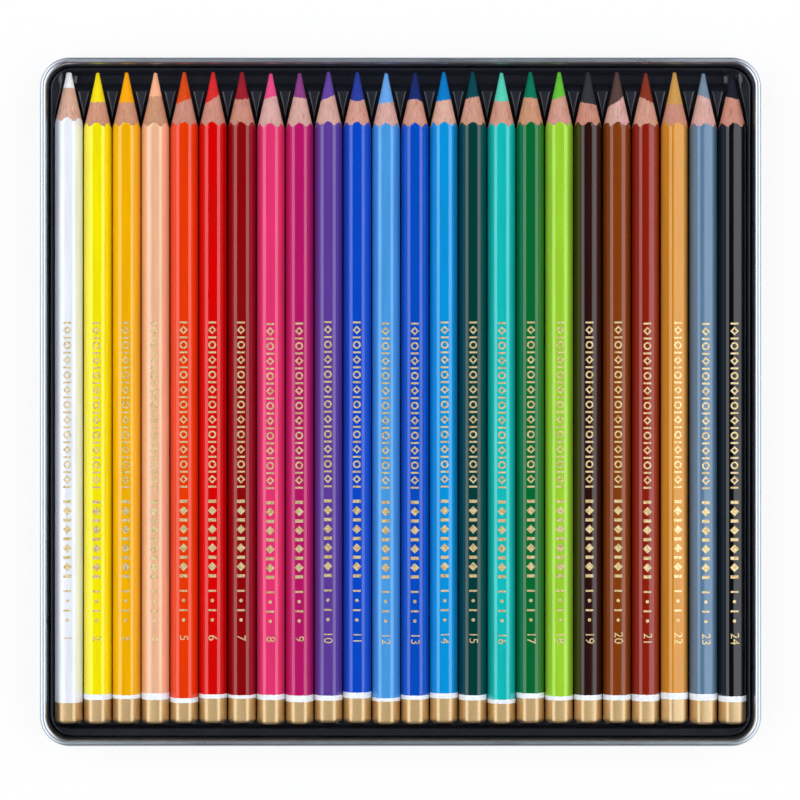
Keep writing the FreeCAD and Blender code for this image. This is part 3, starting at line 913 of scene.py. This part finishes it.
# %% Make the casings and cores
LACQUER_COAT = 0.05
CORE_RAGGED = 0.28
LACQUER_RAGGED = 0.24
DIP_RAGGED = 0.06
BAND_RAGGED = 0.05
BLUNT_CUT = 1.3
BLUNT = ("white",)
FIRST_SEED = 100
PENCIL_CREASE = 50


def make_pencil(number, colour):
    """Makes the core and the casing of one pencil and gives the casing."""
    board, bare, left_side, middle, band, dip = FINISHES[colour][2:]
    pencil = pencils[colour]
    flat, rounding = pencil["flat"] / MM, pencil["rounding"] / MM
    length = (pencil["tip"] - pencil["end"]) / MM
    angles = section_angles(flat, rounding)
    hexagon = section_radius(angles, flat, rounding)
    # A blunt tip is the same cone cut further back.
    cut = BLUNT_CUT if colour in BLUNT else 0.0

    draw = np.random.default_rng(FIRST_SEED + number)
    core_line = bare - left_side * np.sin(angles) + middle * np.cos(angles)
    core_line = core_line + ragged(angles, draw, CORE_RAGGED)
    lacquer_line = cone_place(hexagon - LACQUER_COAT) - cut + ragged(angles, draw, LACQUER_RAGGED)
    dip_line = length - dip + ragged(angles, draw, DIP_RAGGED)
    band_line = dip_line - band + ragged(angles, draw, BAND_RAGGED)

    lines = (core_line, lacquer_line, band_line, dip_line)
    core = close_rings(
        f"pencil_core_{colour}", angles, core_course(core_line, cut, length), [pigments[colour]])
    casing = close_rings(
        f"pencil_casing_{colour}", angles, casing_course(hexagon, lines, band > 0, cut, length),
        [cedars[board], lacquers[colour], band_paint, gold_dip])
    for mesh, node, slot in ((core, "core", "pigment"), (casing, "casing", "lacquer")):
        place_on_axis(mesh, pencil)
        smooth_mesh(mesh, PENCIL_CREASE)
        dress(new_object(mesh.name, mesh), f"{node}_{colour}", f"pencil_{colour}")
    return casing


for number, colour in enumerate(FINISHES):
    casing = make_pencil(number, colour)
print("Each casing has about", len(casing.polygons), "faces")

# %% [markdown]
# ## The tray
#
# The sheet was drawn down over a mould, so its upper face is a height above each point of the floor, with
# every edge rounded by the sheet's own thickness. The mould is described by distances: to each channel, to
# the trough under the tips, to the groove behind the ends and to the tray's outline. A rounded maximum of
# such distances rounds every edge, whatever its slope. The underside is the same surface, a sheet deeper.

# %% Sizes of the tray's mould
TRAY_SHEET = 0.5
TRAY_GAP = 0.4
CHANNEL_GAP = 0.25
RIDGE_DROP = 0.3
POINT_GAP = 1.03
POINT_ANGLE = 23.2
POINT_CLEARANCE = 4.9
POINT_TIP_RADIUS = 0.55
TIP_ROOM = 1.35
HEEL_GAP = 1.0
HEEL_DRAFT = 0.7
HEEL_GROOVE = 2.6
HEEL_GROOVE_DEPTH = 3.0
TROUGH_BACK_LAND = 0.6
TROUGH_BACK_SLOPE = 1.1
TROUGH_FLOOR = 2.4
TROUGH_FRONT_SLOPE = 2.35
TROUGH_END_LAND = 3.0
TROUGH_END_SLOPE = 3.35
TROUGH_CORNER = 0.8
SKIRT_ROUND = 0.5

tray_low, tray_high = (np.array(corner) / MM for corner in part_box("insert_tray"))
tray_half = tray_high[:2]
ridge = tray_high[2]
axes_x = np.array([pencils[colour]["x"] / MM for colour in FINISHES])
pitch = (axes_x[-1] - axes_x[0]) / (len(axes_x) - 1)
channel_radius = pencils["white"]["reach"] / MM + CHANNEL_GAP
channel_axis = ridge + RIDGE_DROP
point_slope = math.tan(math.radians(POINT_ANGLE / 2))
narrowing = math.tan(math.radians((POINT_ANGLE + POINT_CLEARANCE) / 2))
tip_place = tray_half[1] - TIP_ROOM
narrowing_place = tip_place - (channel_radius - POINT_GAP - POINT_TIP_RADIUS) / point_slope
end_place = pencils["white"]["end"] / MM
heel_slope = HEEL_DRAFT / channel_radius
heel_top = end_place - HEEL_GAP - HEEL_DRAFT
trough_floor_back = tray_half[1] - TROUGH_BACK_LAND - TROUGH_BACK_SLOPE
trough_floor_front = trough_floor_back - TROUGH_FLOOR
trough_front = trough_floor_front - TROUGH_FRONT_SLOPE
trough_floor_half = tray_half[0] - TROUGH_END_LAND - TROUGH_END_SLOPE
trough_floor_height = tray_low[2] + TRAY_SHEET
trough_depth = ridge - trough_floor_height
outline_half = tray_half - SKIRT_ROUND
outline_corner = TIN_CORNER - TRAY_GAP - SKIRT_ROUND
# Where the outline's rounded corners start.
corner_start = outline_half - outline_corner
print("Pitch", round(pitch, 3), "mm, channels", round(channel_radius, 3), "mm in radius")

# %% Distances in the tray
EDGE_SOFT = 0.2
FOOT_SOFT = 0.8


def soft_max(a, b, soft):
    """The larger of two distances, rounded where they are within this much of each other."""
    near = np.maximum(soft - np.abs(a - b), 0) / soft
    return np.maximum(a, b) + near**2 * soft / 4


def soft_join(a, b):
    """Distance to two hollows as one, with the edge between them rounded."""
    return -soft_max(-a, -b, EDGE_SOFT)


def channel_distance(off_axis, y, z):
    """Distance to one channel's wall, negative inside it."""
    from_axis = np.hypot(off_axis, z - channel_axis)
    barrel = from_axis - channel_radius
    point = (barrel + (y - narrowing_place) * narrowing) / math.hypot(1, narrowing)
    heel_wall = end_place - HEEL_GAP - (channel_radius - from_axis) * heel_slope
    heel = (heel_wall - y) / math.hypot(1, heel_slope)
    inside = soft_max(barrel, point, FOOT_SOFT)
    return soft_max(soft_max(inside, heel, FOOT_SOFT), y - trough_floor_front, EDGE_SOFT)


def slope_distance(run, past):
    """Distance to a side of the trough that runs out by run, from how far a point lies past it."""
    return past * trough_depth / math.hypot(run, trough_depth)


def trough_distance(x, y, z):
    """Distance to the wall of the trough under the tips, negative inside it."""
    up = (z - trough_floor_height) / trough_depth
    front = slope_distance(TROUGH_FRONT_SLOPE, trough_floor_front - TROUGH_FRONT_SLOPE * up - y)
    back = slope_distance(TROUGH_BACK_SLOPE, y - trough_floor_back - TROUGH_BACK_SLOPE * up)
    end = slope_distance(TROUGH_END_SLOPE, np.abs(x) - trough_floor_half - TROUGH_END_SLOPE * up)
    sides = soft_max(np.maximum(front, back), end, TROUGH_CORNER)
    return soft_max(sides, trough_floor_height - z, FOOT_SOFT)


print("On its axis a channel's wall is", round(-float(channel_distance(0.0, 0.0, channel_axis)), 2), "mm off")

# %% Groove, outline and height of the tray
LAND_LEFT = 0.25
FAR = 1e3
HALVINGS = 34
SEARCH_MARGIN = 1.0


def heel_groove_distance(x, y, z):
    """Distance to the groove that crosses the ridges behind the pencils' ends, negative inside it."""
    back = (heel_top + (ridge - z) * heel_slope - y) / math.hypot(1, heel_slope)
    front = y - heel_top - HEEL_GROOVE
    end = np.abs(x) - axes_x[-1]
    floor = ridge - HEEL_GROOVE_DEPTH - z
    return soft_max(soft_max(back, front, EDGE_SOFT), soft_max(end, floor, FOOT_SOFT), FOOT_SOFT)


def outline_distance(x, y):
    """Distance to the outline where the skirt's rounding starts, negative inside it."""
    over_x = np.abs(x) - corner_start[0]
    over_y = np.abs(y) - corner_start[1]
    outside = np.hypot(np.maximum(over_x, 0), np.maximum(over_y, 0))
    return outside + np.minimum(np.maximum(over_x, over_y), 0) - outline_corner


def tray_distance(x, y, z):
    """Distance to the tray's upper face, negative in the sheet."""
    number = np.clip(np.rint((x - axes_x[0]) / pitch), 0, len(axes_x) - 1)
    off_axis = x - axes_x[0] - number * pitch
    beside = number + np.where(off_axis > 0, 1, -1)
    off_beside = np.where((beside < 0) | (beside > len(axes_x) - 1), FAR, pitch - np.abs(off_axis))
    cut = soft_join(channel_distance(off_axis, y, z), channel_distance(off_beside, y, z))
    cut = soft_join(cut, trough_distance(x, y, z))
    cut = soft_join(cut, heel_groove_distance(x, y, z))
    cut = soft_max(cut, outline_distance(x, y) + LAND_LEFT, EDGE_SOFT)
    return soft_max(z - ridge, -cut, EDGE_SOFT)


def tray_height(x, y, depth):
    """Height of the face this deep in the sheet above each point, found by halving."""
    low = np.full(x.shape, tray_low[2] - SEARCH_MARGIN)
    high = np.full(x.shape, ridge + SEARCH_MARGIN)
    for _ in range(HALVINGS):
        middle = (low + high) / 2
        inside = tray_distance(x, y, middle) < -depth
        low = np.where(inside, middle, low)
        high = np.where(inside, high, middle)
    return (low + high) / 2


middle_height = tray_height(np.array([axes_x[0]]), np.array([0.0]), 0.0)
print("The first channel is", round(ridge - float(middle_height[0]), 2), "mm deep")

# %% [markdown]
# The mesh's columns follow the edges of the channels as they narrow around the points, so that the bright
# line along each edge runs cleanly, and its rows crowd together where the sheet bends.

# %% The tray's grid
CHANNEL_SHARES = (0, 0.22, 0.42, 0.6, 0.74, 0.85, 0.92, 0.96, 0.985, 1.0)
RIDGE_SHARES = (0.12, 0.4, 1.0)
LEAST_HALF_RIDGE = 0.16
LEAST_EDGE_SQUARE = 0.5
LAND_COLUMNS = 4
SQUEEZE_FROM = 84.0
CORNER_ROWS = 13
LEAST_ROW = 0.07
ROW_MARGIN = 0.4
HEEL_ROW = 0.12
POINT_ROW = 0.55
FRONT_ROW = 0.2
BACK_ROW = 0.16
POINT_MARGIN = 0.2
FLOOR_MARGIN = 0.5
EDGE_MARGIN = 0.1


def tray_rows():
    """Places along the tray: few on the straight channels, many at the heel, the points and the trough."""
    ends = corner_start[1] + outline_corner * np.sin(np.radians(np.linspace(0, 90, CORNER_ROWS)))
    heel = heel_top + np.arange(-ROW_MARGIN, HEEL_GROOVE + ROW_MARGIN, HEEL_ROW)
    # The narrowing is felt as far ahead as its rounding reaches.
    ahead = FOOT_SOFT / narrowing + POINT_MARGIN
    points = np.arange(narrowing_place - ahead, trough_front - ROW_MARGIN, POINT_ROW)
    front = np.arange(trough_front - ROW_MARGIN, trough_floor_front + FLOOR_MARGIN, FRONT_ROW)
    back = np.arange(trough_floor_back - ROW_MARGIN, outline_half[1] - EDGE_MARGIN, BACK_ROW)
    places = np.sort(np.concatenate([-ends, ends, heel, points, front, back, [0.0]]))
    kept = [places[0]]
    for row in places[1:]:
        if row - kept[-1] > LEAST_ROW:
            kept.append(row)
    kept[-1] = places[-1]
    return np.array(kept)


def tray_columns(y):
    """Places across the tray for one row, from its left edge to its right edge."""
    radius = channel_radius - max(0.0, y - narrowing_place) * narrowing
    edge = math.sqrt(max(radius**2 - RIDGE_DROP**2, LEAST_EDGE_SQUARE))
    edge = min(pitch / 2 - LEAST_HALF_RIDGE, edge)
    half = [share * edge for share in CHANNEL_SHARES]
    half += [edge + share * (pitch / 2 - edge) for share in RIDGE_SHARES]
    whole = np.concatenate([-np.array(half[:0:-1]), half])
    across = np.concatenate([axis + whole[:-1] for axis in axes_x] + [[axes_x[-1] + pitch / 2]])
    left_land = np.linspace(-outline_half[0], across[0], LAND_COLUMNS)[:-1]
    across = np.concatenate([left_land, across, -left_land[::-1]])
    # Near the rounded corners the outer columns are squeezed to stay inside the outline.
    past = abs(y) - corner_start[1]
    if past > 0:
        reach = corner_start[0] + math.sqrt(max(outline_corner**2 - past**2, 0))
        squeeze = (reach - SQUEEZE_FROM) / (outline_half[0] - SQUEEZE_FROM)
        outer = np.abs(across) > SQUEEZE_FROM
        beyond = np.abs(across[outer]) - SQUEEZE_FROM
        across[outer] = np.sign(across[outer]) * (SQUEEZE_FROM + beyond * squeeze)
    return across


rows = tray_rows()
grid_x = np.array([tray_columns(y) for y in rows])
grid_y = np.repeat(rows[:, None], grid_x.shape[1], axis=1)
print("The tray's grid has", grid_x.shape[0], "rows and", grid_x.shape[1], "columns")

# %% [markdown]
# The grid gives the sheet's upper and lower face. A skirt joins them: it rounds over the edge of the upper
# face, drops straight to the tin's floor, and turns in to the lower face.

# %% The tray's faces
# Keeps the trough's underside off the plane of the tin's floor.
UNDERSIDE_LIFT = 0.02

upper = tray_height(grid_x, grid_y, 0.0)
under = tray_height(grid_x, grid_y, TRAY_SHEET - UNDERSIDE_LIFT)
flat_grid = [grid_x.ravel(), grid_y.ravel()]
grid_size = grid_x.size
numbers = np.arange(grid_size).reshape(grid_x.shape)
corners = [numbers[:-1, :-1], numbers[:-1, 1:], numbers[1:, 1:], numbers[1:, :-1]]
quads = np.stack(corners, -1).reshape(-1, 4)
border = np.concatenate([numbers[0, :-1], numbers[:-1, -1], numbers[-1, :0:-1], numbers[:0:-1, 0]])
print("Each face of the sheet has", len(quads), "quads, and the border", len(border), "points")

# %% The tray's skirt and mesh
SKIRT_FOOT = tin_low.z / MM + TIN_SHEET + TIN_BEND
SKIRT_STEPS = 4
TRAY_CREASE = 60

edge_points = np.column_stack([grid_x.ravel()[border], grid_y.ravel()[border]])
outwards = edge_points - np.clip(edge_points, -corner_start, corner_start)
outwards /= np.linalg.norm(outwards, axis=1)[:, None]
skirt = []
for turn in np.radians(np.linspace(0, 90, SKIRT_STEPS + 1)[1:]):
    drop = SKIRT_ROUND * (1 - math.cos(turn))
    skirt.append(np.column_stack([
        edge_points + outwards * SKIRT_ROUND * math.sin(turn), upper.ravel()[border] - drop]))
for out in (SKIRT_ROUND, 0.0):
    skirt.append(np.column_stack([edge_points + outwards * out, np.full(len(border), SKIRT_FOOT)]))
points = np.vstack([
    np.column_stack([*flat_grid, upper.ravel()]), np.column_stack([*flat_grid, under.ravel()]), *skirt])
loops = [border]
loops += [2 * grid_size + len(border) * step + np.arange(len(border)) for step in range(len(skirt))]
loops.append(border + grid_size)
faces = [tuple(face) for face in quads] + [tuple(face[::-1]) for face in quads + grid_size]
for first, second in zip(loops[:-1], loops[1:]):
    faces += faces_between(second, first)
tray_mesh = new_mesh("formed_tray", points, faces, [tray_plastic])
loose = face_outwards(tray_mesh)
smooth_mesh(tray_mesh, TRAY_CREASE)
dress(new_object("formed_tray", tray_mesh), "insert_tray", "tray")
print("The tray has", len(tray_mesh.polygons), "faces and", loose, "open edges")

# %% [markdown]
# ## Foil marks
#
# Gold marks are stamped on the upper face of each pencil: a plain ornament and a shade number. The ornament
# repeats, so a tree grows it: rows of points, and on each point the next of a few small plates, every plate
# a filled outline. The number is a string turned into filled curves. All plates are then thickened to a
# film and closed underneath.

# %% Plates for the marks, as shares of their height
HOOP = (0.5, 0.29)
HOLLOW_DIAMOND = (1.1, 0.55)
THIN_BAR = 0.24
BOLD_DIAMOND = 1.15
BOLD_BAR = 0.4
DOT = 0.22
ROUND_STEPS = 20

foil_tree, given = new_growth(
    "foil_marks", Number="String", Height="Float", Film="Float", Number_height="Float",
    Number_place="Float", Foil="Material")


def of_height(share):
    """This share of the marks' height."""
    return add_node(foil_tree, "ShaderNodeMath", {"operation": "MULTIPLY", 1: share}, {0: given["Height"]})


def circle(share):
    """A round outline with this radius."""
    return add_node(
        foil_tree, "GeometryNodeCurvePrimitiveCircle", {"Resolution": ROUND_STEPS},
        {"Radius": of_height(share)})


def diamond(share):
    """A square outline on its corner, this wide and high."""
    half = of_height(share / 2)
    return add_node(foil_tree, "GeometryNodeCurvePrimitiveQuadrilateral", {"mode": "KITE"}, {
        "Width": of_height(share), "Bottom Height": half, "Top Height": half})


def bar(share):
    """The outline of a bar across the pencil, this thick."""
    return add_node(foil_tree, "GeometryNodeCurvePrimitiveQuadrilateral", links={
        "Width": of_height(1.0), "Height": of_height(share)})


def plate_in(*outlines):
    """A flat plate inside outlines, where an inner outline is a hole."""
    joined = add_node(foil_tree, "GeometryNodeJoinGeometry", links={0: list(outlines)})
    return add_node(foil_tree, "GeometryNodeFillCurve", {"mode": "NGONS"}, {0: joined})


def marks_in_row(start, count, spacing, plates):
    """A row of plates along the pencil, taken in turn, this far behind the tip in millimetres."""
    line = add_node(foil_tree, "GeometryNodeMeshLine", {
        "Count": count, "Start Location": (0, -start * MM, 0), "Offset": (0, -spacing * MM, 0)})
    choice = add_node(foil_tree, "GeometryNodeGeometryToInstance", links={0: plates})
    return add_node(foil_tree, "GeometryNodeInstanceOnPoints", {"Pick Instance": True},
                    {"Points": line, "Instance": choice})


hoop = plate_in(*(circle(share) for share in HOOP))
hollow_diamond = plate_in(*(diamond(share) for share in HOLLOW_DIAMOND))
print("The foil tree has", len(foil_tree.nodes), "nodes for its hollow plates")

# %% Rows of marks and the number
# Each row: its start behind the tip, its number of marks and their spacing.
FINE_ROW = (67.5, 23, 2.0)
BOLD_ROW = (115.4, 9, 2.5)
DOT_ROW = (139.4, 4, 2.6)

fine = marks_in_row(*FINE_ROW, [hoop, plate_in(bar(THIN_BAR)), hollow_diamond, plate_in(bar(THIN_BAR))])
bold = marks_in_row(*BOLD_ROW, [plate_in(diamond(BOLD_DIAMOND)), plate_in(bar(BOLD_BAR))])
dots = marks_in_row(*DOT_ROW, [plate_in(circle(DOT)), plate_in(bar(THIN_BAR))])
digits = add_node(foil_tree, "GeometryNodeStringToCurves", {"align_x": "CENTER", "align_y": "MIDDLE"}, {
    "String": given["Number"], "Size": given["Number_height"]})
digit_plates = add_node(foil_tree, "GeometryNodeFillCurve", {"mode": "NGONS"}, {0: digits})
back = add_node(foil_tree, "ShaderNodeMath", {"operation": "MULTIPLY", 1: -1.0}, {0: given["Number_place"]})
there = add_node(foil_tree, "ShaderNodeCombineXYZ", links={"Y": back})
number_plates = add_node(foil_tree, "GeometryNodeTransform", {"Rotation": (0, 0, math.radians(-90))}, {
    0: digit_plates, "Translation": there})
joined = add_node(foil_tree, "GeometryNodeJoinGeometry", links={0: [fine, bold, dots, number_plates]})
plates = add_node(foil_tree, "GeometryNodeRealizeInstances", links={0: joined})
raised = add_node(foil_tree, "GeometryNodeExtrudeMesh", {"mode": "FACES", "Individual": False}, {
    "Mesh": plates, "Offset Scale": given["Film"]})
underside = add_node(foil_tree, "GeometryNodeFlipFaces", links={0: plates})
film = add_node(foil_tree, "GeometryNodeJoinGeometry", links={0: [raised, underside]})
merged = add_node(foil_tree, "GeometryNodeMergeByDistance", {"Distance": MERGE_DISTANCE}, {0: film})
end_growth(foil_tree, merged, given["Foil"])
print("The whole foil tree has", len(foil_tree.nodes), "nodes")

# %% Foil on every pencil
MARK_HEIGHT = 2.1
NUMBER_PLACE = 152.0
NUMBER_HEIGHT = 3.3
FILM = 0.06
# The film starts a little deeper than the face falls off at its sides, so that it hovers nowhere.
FOIL_SINK = FACE_CROWN + 0.01

for number, colour in enumerate(FINISHES, start=1):
    pencil = pencils[colour]
    marks = grow(
        foil_tree, f"foil_marks_{colour}", Number=str(number), Height=MARK_HEIGHT * MM, Film=FILM * MM,
        Number_height=NUMBER_HEIGHT * MM, Number_place=NUMBER_PLACE * MM, Foil=foil)
    loose = face_outwards(marks.data)
    for vertex in marks.data.vertices:
        vertex.co.z += pencil["flat"] - FOIL_SINK * MM
    place_on_axis(marks.data, pencil)
    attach(marks, f"pencil_{colour}")
print("Foil marks of", len(marks.data.polygons), "faces on the last pencil,", loose, "open edges")
